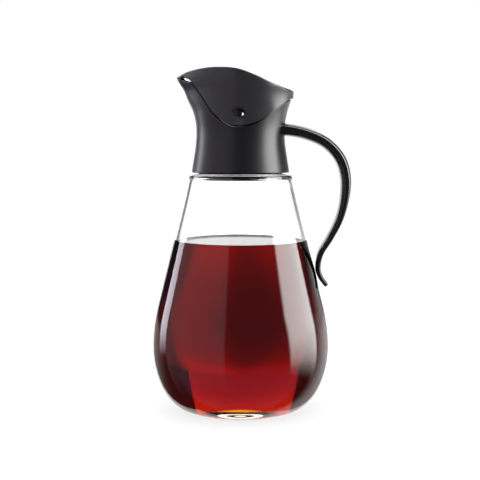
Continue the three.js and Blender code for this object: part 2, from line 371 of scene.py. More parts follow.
def ring_mesh(name: str, rings: Sequence[Ring], closed: bool = False) -> bpy.types.Mesh:
    """Join rings of points into one closed surface.

    Args:
        name: The mesh's name.
        rings: Rings of points in millimetres, anticlockwise from above. A ring of one point closes an end.
        closed: True if the last ring joins the first, as on a tube with a wall.

    Returns:
        The mesh, in metres.
    """
    points: list[Vector] = []
    starts: list[int] = []
    for ring in rings:
        starts.append(len(points))
        points.extend(ring)
    faces: list[tuple[int, ...]] = []
    count = len(rings)
    for r in range(count if closed else count - 1):
        lower, upper = rings[r], rings[(r + 1) % count]
        first, second = starts[r], starts[(r + 1) % count]
        steps = max(len(lower), len(upper))
        for i in range(steps):
            after = (i + 1) % steps
            corners = [first + (i if len(lower) > 1 else 0)]
            if len(lower) > 1:
                corners.append(first + after)
            corners.append(second + (after if len(upper) > 1 else 0))
            if len(upper) > 1:
                corners.append(second + i)
            faces.append(tuple(corners))
    mesh = bpy.data.meshes.new(name)
    mesh.from_pydata([point * MM for point in points], [], faces)
    mesh.validate()
    mesh.shade_smooth()
    return mesh


def add_piece(
    name: str,
    mesh: bpy.types.Mesh,
    material: bpy.types.Material,
    body: Body,
    replaced: Sequence[str],
) -> bpy.types.Object:
    """Place a mesh as a piece of the dispenser.

    Args:
        name: The piece's name.
        mesh: Its mesh, in metres.
        material: Its finish.
        body: The body it rides on.
        replaced: The frame's nodes that it stands for.

    Returns:
        The new object.
    """
    piece = bpy.data.objects.new(name, mesh)
    bpy.context.scene.collection.objects.link(piece)
    mesh.materials.clear()
    mesh.materials.append(material)
    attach(piece, body.value)
    if replaced:
        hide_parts(*replaced)
    LOG.info("%s: %d faces on %s", name, len(mesh.polygons), body.value)
    return piece


# A radius below this, in millimetres, is a point on the axis
ON_AXIS = 1e-6


def circle(radius: float, height: float, steps: int) -> Ring:
    """Make a level ring round the axis."""
    turns = (2 * math.pi * i / steps for i in range(steps))
    return [Vector((radius * math.cos(turn), radius * math.sin(turn), height)) for turn in turns]


def turned_rings(profile: Sequence[Station], steps: int) -> list[Ring]:
    """Turn an outline of radius and height round the axis."""
    return [
        circle(radius, height, steps) if radius > ON_AXIS else [Vector((0, 0, height))]
        for radius, height in profile
    ]


def arc(centre: Station, radii: Station, start: float, end: float, steps: int) -> list[Station]:
    """Sample an arc of an ellipse.

    Args:
        centre: Its centre.
        radii: Its half axes.
        start: First angle in degrees.
        end: Last angle in degrees.
        steps: Number of steps.

    Returns:
        Points along the arc, both ends included.
    """
    angles = [math.radians(mix(start, end, i / steps)) for i in range(steps + 1)]
    return [(centre[0] + radii[0] * math.cos(a), centre[1] + radii[1] * math.sin(a)) for a in angles]


def quarter(steps: int) -> list[tuple[float, float]]:
    """Sines and cosines of a quarter turn, both ends included."""
    angles = [math.radians(90 * k / steps) for k in range(steps + 1)]
    return [(math.sin(a), math.cos(a)) for a in angles]


def rounded_profile(corners: Sequence[tuple[float, float, float]], steps: int = 6) -> list[Station]:
    """Round the corners of an outline.

    Args:
        corners: Radius, height and rounding radius of each corner.
        steps: Steps in each rounding.

    Returns:
        The outline's points.
    """
    outline: list[Station] = []
    for i, (x, y, rounding) in enumerate(corners):
        if rounding <= 0 or i in (0, len(corners) - 1):
            outline.append((x, y))
            continue
        here = Vector((x, y))
        back = (Vector(corners[i - 1][:2]) - here).normalized()
        ahead = (Vector(corners[i + 1][:2]) - here).normalized()
        half = back.angle(ahead) / 2
        reach = rounding / math.tan(half)
        start, end = here + back * reach, here + ahead * reach
        for k in range(steps + 1):
            t = k / steps
            point = start * (1 - t) ** 2 + here * (2 * t * (1 - t)) + end * t * t
            outline.append((point.x, point.y))
    return outline


# Jar and syrup


@dataclass
class Jar:
    """Pear-shaped glass jar with a heavy base, and the syrup in it. Sizes are in millimetres."""

    foot_radius: float = 32
    corner_power: float = 1.9
    belly_radius: float = 51.9
    belly_height: float = 36
    belly_arc_radius: float = 98
    cone_angle: float = math.radians(14.15)
    flare_height: float = 112
    flare: float = 0.45
    cone_top: float = 134.4
    shoulder_height: float = 136.7
    neck_radius: float = 24.2
    rim_height: float = 150
    wall: float = 2.3
    neck_wall: float = 2.6
    base_thickness: float = 8
    floor_dome: float = 2.5
    inner_floor_radius: float = 26.5
    syrup_level: float = 98.4
    meniscus_rise: float = 0.9
    meniscus_width: float = 2.6
    wall_bite: float = 0.06
    steps: int = 180

    def cone_radius(self, height: float) -> float:
        """Outer radius of the straight cone at a height."""
        start_radius = self.belly_radius - self.belly_arc_radius * (1 - math.cos(self.cone_angle))
        start_height = self.belly_height + self.belly_arc_radius * math.sin(self.cone_angle)
        above = max(height - self.flare_height, 0)
        flare = self.flare * above**2 / (self.cone_top - self.flare_height) ** 2
        return start_radius - math.tan(self.cone_angle) * (height - start_height) + flare

    def inner_cone_radius(self, height: float, inset: float) -> float:
        """Inner radius of the cone at a height, set in by an extra distance."""
        return self.cone_radius(height) - (self.wall + inset) / math.cos(self.cone_angle)

    def belly_arc(self, inset: float) -> list[Station]:
        """Outline of the belly above its widest place, set in by a distance."""
        centre = (self.belly_radius - self.belly_arc_radius, self.belly_height)
        radius = self.belly_arc_radius - inset
        return arc(centre, (radius, radius), 0, math.degrees(self.cone_angle), 14)[1:]

    def corner(self, floor_radius: float, floor: float, reach: float, steps: int) -> list[Station]:
        """Outline of the rounded corner from a level floor out to the belly.

        Args:
            floor_radius: Radius of the level part.
            floor: Height of the level part.
            reach: Radius at the belly.
            steps: Number of steps.

        Returns:
            Points of the outline, both ends included.
        """
        outline = []
        for i in range(steps + 1):
            angle = i / steps * math.pi / 2
            out = math.sin(angle) ** (2 / self.corner_power)
            down = math.cos(angle) ** (2 / self.corner_power)
            outline.append((mix(floor_radius, reach, out), mix(self.belly_height, floor, down)))
        return outline

    def outer_profile(self) -> list[Station]:
        """Outline of the outside, from the middle of the foot to the rim.

        Returns:
            Points of radius and height.
        """
        cone_end = self.cone_radius(self.cone_top)
        return [
            (0, 0),
            (self.foot_radius * 0.5, 0),
            *self.corner(self.foot_radius, 0, self.belly_radius, 32),
            *self.belly_arc(0),
            *[(self.cone_radius(z), z) for z in (70, 80, 90, 100, 110, 120, 128, 132)],
            *rounded_profile(
                [
                    (cone_end + 0.1, self.cone_top - 1, 0),
                    (cone_end - 0.55, self.shoulder_height, 1.3),
                    (self.neck_radius, self.shoulder_height + 0.5, 1.2),
                    (self.neck_radius, self.rim_height, 1.1),
                    (self.neck_radius - self.neck_wall / 2, self.rim_height, 0),
                ],
                8,
            ),
        ]

    def inner_curve(self, inset: float) -> list[Station]:
        """Outline of the inside up to the cone, set in by an extra distance.

        Args:
            inset: The extra distance.

        Returns:
            Points of radius and height, from the middle of the domed floor.
        """
        floor = self.base_thickness + inset
        reach = self.belly_radius - self.wall - inset
        dome = []
        for k in range(10):
            rise = self.floor_dome * (1 + math.cos(math.pi * k / 10)) / 2
            dome.append((self.inner_floor_radius * k / 10, floor + rise))
        return [
            *dome,
            *self.corner(self.inner_floor_radius, floor, reach, 28),
            *self.belly_arc(self.wall + inset),
        ]

    def glass_profile(self) -> list[Station]:
        """The whole outline of the glass, outside then inside.

        Returns:
            Points of radius and height.
        """
        inside_neck = self.neck_radius - self.neck_wall
        heights = (70, 80, 90, self.syrup_level, 104, 112, 120, 126, 129)
        inner = [
            *self.inner_curve(0),
            *[(self.inner_cone_radius(z, 0), z) for z in heights],
            *rounded_profile(
                [
                    (self.inner_cone_radius(130, 0), 130, 0),
                    (self.inner_cone_radius(134.6, 0), 134.6, 3.2),
                    (inside_neck, 138.4, 3.0),
                    (inside_neck, self.rim_height, 1.1),
                    (self.neck_radius - self.neck_wall / 2 - 0.05, self.rim_height, 0),
                ],
                8,
            ),
        ]
        return [*self.outer_profile(), *reversed(inner)]

    def syrup_profile(self) -> list[Station]:
        """Outline of the syrup, which reaches just into the wall and climbs it a little at the top.

        Returns:
            Points of radius and height.
        """
        edge = self.inner_cone_radius(self.syrup_level, -self.wall_bite)
        surface = []
        for k in range(9):
            share = k / 8
            fall = self.meniscus_rise * share * (2 - share)
            surface.append((edge - self.meniscus_width * share, self.syrup_level - fall))
        low = self.syrup_level - self.meniscus_rise
        return [
            *self.inner_curve(-self.wall_bite),
            *[(self.inner_cone_radius(z, -self.wall_bite), z) for z in (70, 80, 90)],
            *surface,
            (edge * 0.6, low),
            (edge * 0.3, low),
            (0, low),
        ]

    def is_inside(self, face: bpy.types.MeshPolygon) -> bool:
        """Tell whether a face of the glass lies on its inside."""
        outwards = Vector((face.center.x, face.center.y, 0)).normalized()
        return face.normal.dot(outwards) < -0.3 or face.normal.z > 0.3

    def build(self) -> None:
        """Make the glass and the syrup, each with a second finish where the two touch."""
        glass = ring_mesh("glass_jar_fine", turned_rings(self.glass_profile(), self.steps))
        add_piece("jar_glass", glass, CLEAR_GLASS.material(), Body.JUG, ["glass_jar"])
        glass.materials.append(WETTED_GLASS.material())
        for face in glass.polygons:
            face.material_index = int(self.is_inside(face) and face.center.z < self.syrup_level * MM)
        syrup = ring_mesh("syrup_fine", turned_rings(self.syrup_profile(), self.steps))
        add_piece("jar_syrup", syrup, SYRUP_SURFACE.material(), Body.JUG, ["syrup"])
        syrup.materials.append(SYRUP_ON_GLASS.material())
        for face in syrup.polygons:
            face.material_index = int(face.center.z < (self.syrup_level - self.meniscus_rise - 1) * MM)


# Collar and lid


@dataclass
class FlaredBody:
    """Flared form that collar and lid share, drawn out to a spout at the front. Sizes are in millimetres."""

    hinge_x: float = -1
    hinge_z: float = 172.2
    rear: Curve = field(
        default=smooth_through(
            [
                (138, 28.6),
                (146, 27.3),
                (153, 26.25),
                (160, 25.75),
                (166, 26.0),
                (173, 27.3),
                (180, 29.5),
                (187, 31.8),
            ]
        )
    )
    front: Curve = field(
        default=smooth_through(
            [
                (138, 28.6),
                (146, 27.3),
                (153, 26.25),
                (160, 25.75),
                (166, 26.0),
                (173, 27.6),
                (180, 30.7),
                (186, 33.2),
                (190, 35.8),
                (193, 37.3),
            ]
        )
    )
    side: Curve = field(
        default=smooth_through(
            [
                (138, 28.6),
                (146, 27.3),
                (153, 26.25),
                (160, 25.75),
                (166, 26.1),
                (173, 27.4),
                (181, 29.3),
                (190, 31.2),
                (198, 32),
            ]
        )
    )
    pinch: Curve = field(
        default=smooth_through([(160, 0), (170, 0.04), (182, 0.4), (192, 0.62), (198, 0.66)])
    )
    seam: Curve = field(
        default=smooth_through(
            [
                (-37.4, 192.3),
                (-34, 192.5),
                (-29.3, 190.9),
                (-27, 188.6),
                (-22.4, 182.1),
                (-15.6, 171.9),
                (-7.1, 165.6),
                (0, 164.7),
                (10.6, 167.7),
                (20.9, 175.5),
                (28.1, 180.2),
                (31, 180.8),
            ]
        )
    )
    lid_top: Curve = field(
        default=smooth_through(
            [
                (-37.4, 192.8),
                (-36.2, 193.7),
                (-31.6, 195.8),
                (-24, 197.3),
                (-15, 197.79),
                (-2, 196.7),
                (8.7, 193.1),
                (17.8, 189.1),
                (24, 187.1),
                (31.4, 185.7),
            ]
        )
    )
    seam_gap: float = 0.75
    slit_gap: float = 2.2
    slit_from: float = -34
    slit_to: float = -29.8
    tip_gap: float = 0.12
    crossing_rounds: int = 14
    steps: int = 220

    def point(self, turn: float, z: float, inset: float) -> Vector:
        """A point of the form.

        Args:
            turn: Angle round the axis from the rear, in radians.
            z: Height.
            inset: Distance inwards from the surface.

        Returns:
            The point.
        """
        along, across = math.cos(turn), math.sin(turn)
        if along >= 0:
            return Vector(((self.rear(z) - inset) * along, (self.side(z) - inset) * across, z))
        width = self.side(z) * (1 - self.pinch(z) * along * along) - inset
        return Vector(((self.front(z) - inset) * along, width * across, z))

    def turns(self) -> list[float]:
        """The angles of every ring's points."""
        return [2 * math.pi * i / self.steps for i in range(self.steps)]

    def gap_at(self, x: float) -> float:
        """Width of the gap between collar and lid along the seam, wider at the slit by the spout's tip."""
        at_slit = smoothstep(x, self.slit_from - 0.5, self.slit_from + 0.1) * (
            1 - smoothstep(x, self.slit_to, self.slit_to + 0.6)
        )
        base = self.tip_gap if x < self.slit_from else self.seam_gap
        return mix(base, self.slit_gap, at_slit)

    def crossing(self, turn: float, line: Curve) -> float:
        """Height at which the form at one angle crosses a line in side view, found by repeated averaging."""
        z = self.hinge_z
        for _ in range(self.crossing_rounds):
            z = (z + line(self.point(turn, z, 0).x)) / 2
        return z

    def collar_rim(self, turn: float) -> float:
        """Height of the collar's rim at an angle."""
        return self.crossing(turn, lambda x: self.seam(x) - self.gap_at(x) / 2)

    def lid_edge(self, turn: float) -> float:
        """Height of the lid's lower edge at an angle."""
        return self.crossing(turn, lambda x: self.seam(x) + self.gap_at(x) / 2)

    def lid_height(self, turn: float) -> float:
        """Height of the lid's upper edge at an angle."""
        return max(self.crossing(turn, self.lid_top), self.lid_edge(turn) + 0.4)


@dataclass
class Collar:
    """Collar that grips the jar's neck and rises to the spout. Sizes are in millimetres."""

    form: FlaredBody
    bottom: float = 138
    wall: float = 2.3
    socket_radius: float = 24.5
    shelf_bottom: float = 150.3
    shelf_top: float = 152
    shelf_radius: float = 22
    throat_bottom: float = 153.2
    edge_round: float = 0.45

    def rings(self) -> list[Ring]:
        """Rings round the wall's section: up the outside, over the rim and down the inside.

        Returns:
            The rings, which close into a tube.
        """
        form, turns = self.form, self.form.turns()
        rims = [form.collar_rim(turn) for turn in turns]
        r = self.edge_round

        def ring(height: Curve, inset: float) -> Ring:
            """One ring, from its height at a place with a given rim."""
            return [form.point(turn, height(rim), inset) for turn, rim in zip(turns, rims)]

        rings = [ring(lambda rim: self.bottom + r * (1 - cos), r * (1 - sin)) for sin, cos in quarter(4)]
        rings += [ring(lambda rim: mix(self.bottom + r, rim - r, k / 40), 0) for k in range(1, 40)]
        rings += [ring(lambda rim: rim - r * (1 - sin), r * (1 - cos)) for sin, cos in quarter(4)]
        rings += [ring(lambda rim: rim - r * (1 - cos), self.wall - r * (1 - sin)) for sin, cos in quarter(4)]
        rings += [ring(lambda rim: mix(rim - r, self.throat_bottom, k / 20), self.wall) for k in range(1, 21)]
        for radius, z in (
            (self.shelf_radius, self.shelf_top),
            (self.shelf_radius, self.shelf_bottom),
            (self.socket_radius, self.shelf_bottom),
            (self.socket_radius, self.bottom),
        ):
            rings.append(circle(radius, z, form.steps))
        return rings

    def build(self) -> None:
        """Make the collar."""
        mesh = ring_mesh("collar_fine", self.rings(), closed=True)
        add_piece("collar_shell", mesh, SATIN_ABS.material(), Body.JUG, ["collar"])


@dataclass(frozen=True)
class LidPost:
    """The lid's wall at one angle. Sizes are in millimetres."""

    turn: float
    edge: float
    top: float
    ceiling: float
    wall: float
    rounding: float
    crown: float


@dataclass
class Lid:
    """Rocking lid: a hood over the collar, with an eye on each side for a pin. Sizes are in millimetres."""

    form: FlaredBody
    wall: float = 1.6
    rear_wall: float = 1.05
    top_thickness: float = 1.5
    flank_step: float = 2.0
    rear_step: float = 1.05
    flank_step_height: float = 13
    rear_step_height: float = 6
    step_from: float = -4
    step_to: float = 3
    flank_end: float = 17
    rear_start: float = 28
    edge_round: float = 0.35
    top_round: float = 0.7
    rear_round: float = 1.9
    crown_from: float = 20
    crown_to: float = 30
    eye_length: float = 6.4
    eye_height: float = 4.4
    eye_depth: float = 1.3
    eye_border: float = 2.3
    border_depth: float = 0.4
    eye_steps: int = 48
    middle_x: float = -3

    def rear_share(self, x: float) -> float:
        """Share of the rear form at a place along X."""
        return smoothstep(x, self.step_from, self.step_to)

    def step(self, x: float) -> float:
        """How far the lid's lower edge stands outside the shared form."""
        rear = smoothstep(x, self.flank_end, self.rear_start)
        return self.rear_share(x) * mix(self.flank_step, self.rear_step, rear)

    def point(self, turn: float, z: float, inset: float, edge: float) -> Vector:
        """A point of the lid's wall.

        Args:
            turn: Angle round the axis from the rear, in radians.
            z: Height.
            inset: Distance inwards from the outside.
            edge: Height of the lid's lower edge at that angle.

        Returns:
            The point.
        """
        x = self.form.point(turn, z, 0).x
        rear = smoothstep(x, self.flank_end, self.rear_start)
        height = mix(self.flank_step_height, self.rear_step_height, rear)
        rise = min(max((z - edge) / height, 0.0), 1.0)
        step = self.step(x) * (1 - rise) ** 2
        return self.form.point(turn, z, inset - step)

    def wall_at(self, turn: float) -> float:
        """Thickness of the lid's wall at an angle."""
        return mix(self.wall, self.rear_wall, self.rear_share(self.form.point(turn, self.form.hinge_z, 0).x))

    def top_rings(self, edge_ring: Ring, drop: float, count: int) -> list[Ring]:
        """Rings from the edge of the top to its middle, curved along X and straight across.

        Args:
            edge_ring: The ring that they start from.
            drop: How far they lie below the lid's upper outline.
            count: Number of rings.

        Returns:
            The rings, without the first and with a point at the end.
        """
        rings: list[Ring] = []
        for k in range(1, count):
            share = k / count
            ring = []
            for edge in edge_ring:
                x = mix(edge.x, self.middle_x, share)
                offset = edge.z - (self.form.lid_top(edge.x) - drop)
                z = self.form.lid_top(x) - drop + offset * (1 - share) ** 3
                ring.append(Vector((x, edge.y * (1 - share), z)))
            rings.append(ring)
        rings.append([Vector((self.middle_x, 0, self.form.lid_top(self.middle_x) - drop))])
        return rings

    def post(self, turn: float) -> LidPost:
        """Measure the lid's wall at an angle.

        Args:
            turn: Angle round the axis from the rear, in radians.

        Returns:
            The heights, thickness and roundings there.
        """
        edge, top = self.form.lid_edge(turn), self.form.lid_height(turn)
        rear = smoothstep(self.form.point(turn, top, 0).x, self.crown_from, self.crown_to)
        return LidPost(
            turn=turn,
            edge=edge,
            top=top,
            ceiling=max(top - self.top_thickness, edge + 0.15),
            wall=self.wall_at(turn),
            rounding=min(self.edge_round, (top - edge) / 3),
            crown=min(mix(self.top_round, self.rear_round, rear), (top - edge) / 2.5),
        )

    def rings(self) -> list[Ring]:
        """Rings of the hood: the ceiling, the inside, the lower edge, the outside and the top.

        Returns:
            The rings, with a point at each end.
        """
        posts = [self.post(turn) for turn in self.form.turns()]

        def ring(height: Callable[[LidPost], float], inset: Callable[[LidPost], float]) -> Ring:
            """One ring of the wall, from its height and inset at each post."""
            return [self.point(p.turn, height(p), inset(p), p.edge) for p in posts]

        def low_end(p: LidPost) -> float:
            """Height at which the inside meets the rounded lower edge."""
            return min(p.edge + p.rounding, p.ceiling - 0.05)

        inside = [ring(lambda p: mix(p.ceiling, low_end(p), k / 12), lambda p: p.wall) for k in range(13)]
        under = [
            ring(lambda p: p.edge + p.rounding * (1 - sin), lambda p: p.wall - p.rounding * (1 - cos))
            for sin, cos in quarter(4)[1:]
        ]
        under += [
            ring(lambda p: p.edge + p.rounding * (1 - cos), lambda p: p.rounding * (1 - sin))
            for sin, cos in quarter(4)
        ]
        outside = [
            ring(lambda p: mix(p.edge + p.rounding, p.top - p.crown, k / 30), lambda p: 0)
            for k in range(1, 31)
        ]
        outside += [
            ring(lambda p: p.top - p.crown * (1 - sin), lambda p: p.crown * (1 - cos))
            for sin, cos in quarter(5)[1:]
        ]
        ceiling = list(reversed(self.top_rings(inside[0], self.top_thickness, 14)))
        return [*ceiling, *inside, *under, *outside, *self.top_rings(outside[-1], 0, 22)]

    def eye_cutter(self, side: Side, border: float, deep: float) -> bpy.types.Object:
        """Make an oval plug that cuts the eye on one side.

        Args:
            side: The side of the lid.
            border: How far the plug is wider and higher than the eye.
            deep: How deep it cuts.

        Returns:
            The plug.
        """
        reach = self.form.side(self.form.hinge_z)
        rings: list[Ring] = []
        for depth in (reach - deep, reach + 3):
            ring = []
            for i in range(self.eye_steps):
                turn = 2 * math.pi * i / self.eye_steps
                x = self.form.hinge_x + (self.eye_length + border) / 2 * math.cos(turn)
                z = self.form.hinge_z + (self.eye_height + border) / 2 * math.sin(turn)
                ring.append(Vector((x, side.value * depth, z)))
            rings.append(ring)
        middles = [[Vector((self.form.hinge_x, ring[0].y, self.form.hinge_z))] for ring in rings]
        cutter = bpy.data.objects.new("eye_cutter", ring_mesh("eye_cutter", [middles[0], *rings, middles[1]]))
        bpy.context.scene.collection.objects.link(cutter)
        return cutter

    def cut_eyes(self, piece: bpy.types.Object) -> None:
        """Cut an oval eye with a shallow border in each side of the lid.

        Args:
            piece: The lid.
        """
        sizes = ((self.eye_border, self.border_depth), (0, self.eye_depth))
        for side, border, deep in [(side, *size) for side in Side for size in sizes]:
            cutter = self.eye_cutter(side, border, deep)
            tidy = bmesh.new()
            tidy.from_mesh(cutter.data)
            bmesh.ops.recalc_face_normals(tidy, faces=tidy.faces)
            tidy.to_mesh(cutter.data)
            tidy.free()
            modifier = piece.modifiers.new("eye", "BOOLEAN")
            modifier.object = cutter
            modifier.solver = "EXACT"
            depsgraph = bpy.context.evaluated_depsgraph_get()
            cut = bpy.data.meshes.new_from_object(piece.evaluated_get(depsgraph))
            piece.modifiers.clear()
            piece.data = cut
            bpy.data.objects.remove(cutter)
        piece.data.set_sharp_from_angle(angle=math.radians(40))

    def build(self) -> None:
        """Make the lid."""
        mesh = ring_mesh("lid_fine", self.rings())
        # The lid's finish is painted a shade lighter than the collar's, as painted light on the lid
        piece = add_piece("lid_hood", mesh, PAINTED_LIGHTER_LID_ABS.material(), Body.LID, ["lid"])
        self.cut_eyes(piece)


@dataclass
class HingePin:
    """A pin that carries the lid, with a domed head in the lid's eye. Sizes are in millimetres."""

    form: FlaredBody
    side: Side
    radius: float = 1.95
    recess: float = 0.75
    dome: float = 0.45
    length: float = 3.3
    steps: int = 32

    def build(self, node: str) -> None:
        """Make the pin.

        Args:
            node: The frame's node that the pin stands for.
        """
        face = self.form.side(self.form.hinge_z) - self.recess
        profile = [(0.0, face - self.length), (self.radius, face - self.length)]
        profile += [(self.radius * cos, face - self.dome + self.dome * sin) for sin, cos in quarter(8)]
        rings: list[Ring] = []
        for radius, reach in profile:
            ring = []
            for i in range(self.steps if radius > ON_AXIS else 1):
                turn = 2 * math.pi * i / self.steps
                x = self.form.hinge_x + radius * math.cos(turn)
                z = self.form.hinge_z - self.side.value * radius * math.sin(turn)
                ring.append(Vector((x, self.side.value * reach, z)))
            rings.append(ring)
        mesh = ring_mesh(f"{node}_fine", rings)
        add_piece(f"{node}_head", mesh, POLISHED_ABS.material(), Body.JUG, [node])


@dataclass
class Handle:
    """Curved open handle, wide at the collar and slim at its turned-out tail. Sizes are in millimetres."""

    form: FlaredBody
    line: tuple[Station, ...] = (
        (18, 163.4),
        (27.9, 162.7),
        (39.1, 160.2),
        (49.9, 155),
        (58, 145.9),
        (61.3, 134.7),
        (60.8, 122.5),
        (57.6, 110.3),
        (52, 99.2),
        (46.8, 90.4),
        (45.4, 82),
        (46.9, 76.7),
        (50.2, 72),
    )
    # Thickness and width, by share of the way from the collar to the tail
    thickness: Curve = field(
        default=smooth_through(
            [(0, 7.8), (0.1, 7.5), (0.25, 7), (0.45, 6.5), (0.6, 5), (0.75, 4.1), (0.86, 3.6), (1, 2.8)]
        )
    )
    width: Curve = field(
        default=smooth_through([(0, 24), (0.1, 23.2), (0.25, 21.5), (0.5, 19), (0.75, 15.5), (1, 12)])
    )
    stations: int = 150
    corners: int = 40
    # Power of the rounded section, where 1 is an ellipse and 0 a rectangle
    squareness: float = 0.7
    # How far its root is sunk in the collar's surface
    seat: float = 0.4

    def middle(self) -> list[Vector]:
        """Evenly spaced points of the middle line, on a centripetal curve.

        Returns:
            The points, from root to tail.
        """
        knots = [Vector((x, 0, z)) for x, z in self.line]
        knots = [knots[0] * 2 - knots[1], *knots, knots[-1] * 2 - knots[-2]]
        dense: list[Vector] = []
        for a, b, c, d in zip(knots, knots[1:], knots[2:], knots[3:]):
            t0 = 0.0
            t1 = t0 + (b - a).length ** 0.5
            t2 = t1 + (c - b).length ** 0.5
            t3 = t2 + (d - c).length ** 0.5
            for k in range(24):
                t = mix(t1, t2, k / 24)
                ab = a * ((t1 - t) / (t1 - t0)) + b * ((t - t0) / (t1 - t0))
                bc = b * ((t2 - t) / (t2 - t1)) + c * ((t - t1) / (t2 - t1))
                cd = c * ((t3 - t) / (t3 - t2)) + d * ((t - t2) / (t3 - t2))
                abc = ab * ((t2 - t) / (t2 - t0)) + bc * ((t - t0) / (t2 - t0))
                bcd = bc * ((t3 - t) / (t3 - t1)) + cd * ((t - t1) / (t3 - t1))
                dense.append(abc * ((t2 - t) / (t2 - t1)) + bcd * ((t - t1) / (t2 - t1)))
        dense.append(knots[-2])
        lengths = [0.0]
        for before, after in zip(dense, dense[1:]):
            lengths.append(lengths[-1] + (after - before).length)
        even: list[Vector] = []
        at = 0
        for k in range(self.stations + 1):
            want = lengths[-1] * k / self.stations
            while at < len(lengths) - 2 and lengths[at + 1] < want:
                at += 1
            share = (want - lengths[at]) / (lengths[at + 1] - lengths[at])
            even.append(dense[at].lerp(dense[at + 1], share))
        return even

    def surface_x(self, y: float, z: float) -> float:
        """Where the collar's rear surface lies at a place across it."""
        share = min(abs(y) / self.form.side(z), 0.99)
        return self.form.rear(z) * math.sqrt(1 - share * share)

    def rings(self) -> list[Ring]:
        """Rings along the handle, seated a little way into the collar's surface.

        Returns:
            The rings, with a point at each end.
        """
        line = self.middle()
        rings: list[Ring] = []
        for k in range(len(line)):
            share = k / self.stations
            ahead = (line[min(k + 1, len(line) - 1)] - line[max(k - 1, 0)]).normalized()
            outward = Vector((-ahead.z, 0, ahead.x))
            ring = []
            for i in range(self.corners):
                angle = 2 * math.pi * (i + 0.5) / self.corners
                across = math.copysign(abs(math.cos(angle)) ** self.squareness, math.cos(angle))
                through = math.copysign(abs(math.sin(angle)) ** self.squareness, math.sin(angle))
                point = line[k] + outward * (through * self.thickness(share) / 2)
                point.y = across * self.width(share) / 2
                ring.append(point)
            inside = [point.x < self.surface_x(point.y, point.z) - self.seat for point in ring]
            if all(inside):
                rings = []
            for point, buried in zip(ring, inside):
                if buried:
                    point.x = self.surface_x(point.y, point.z) - self.seat
            rings.append(ring)
        start = sum(rings[0], Vector()) / self.corners
        tail = sum(rings[-1], Vector()) / self.corners
        cap = [[tail.lerp(point, share) for point in rings[-1]] for share in (0.85, 0.5)]
        return [[start], *rings, *cap, [tail]]

    def build(self) -> None:
        """Make the handle."""
        mesh = ring_mesh("handle_fine", self.rings())
        add_piece("handle_grip", mesh, POLISHED_ABS.material(), Body.JUG, ["handle"])


# Studio


def soft_edges(
    tree: bpy.types.NodeTree,
    value: bpy.types.NodeSocket,
    edges: Sequence[Span],
    start: float | bpy.types.NodeSocket,
) -> bpy.types.NodeSocket:
    """Multiply a brightness by soft edges.

    Args:
        tree: The node tree.
        value: The place that the edges are measured along.
        edges: Where each edge starts and where it is fully bright.
        start: The brightness, as a number or a socket.

    Returns:
        The socket with the bounded brightness.
    """
    for dark, bright in edges:
        edge = add_node(tree, RANGE, {**SMOOTH, "in:From Min": dark, "in:From Max": bright}, {"Value": value})
        product = add_node(tree, MATH, {"operation": "MULTIPLY"}, {"0": edge.outputs[0]})
        if isinstance(start, float):
            product.inputs[1].default_value = start
        else:
            tree.links.new(start, product.inputs[1])
        start = product.outputs[0]
    return start


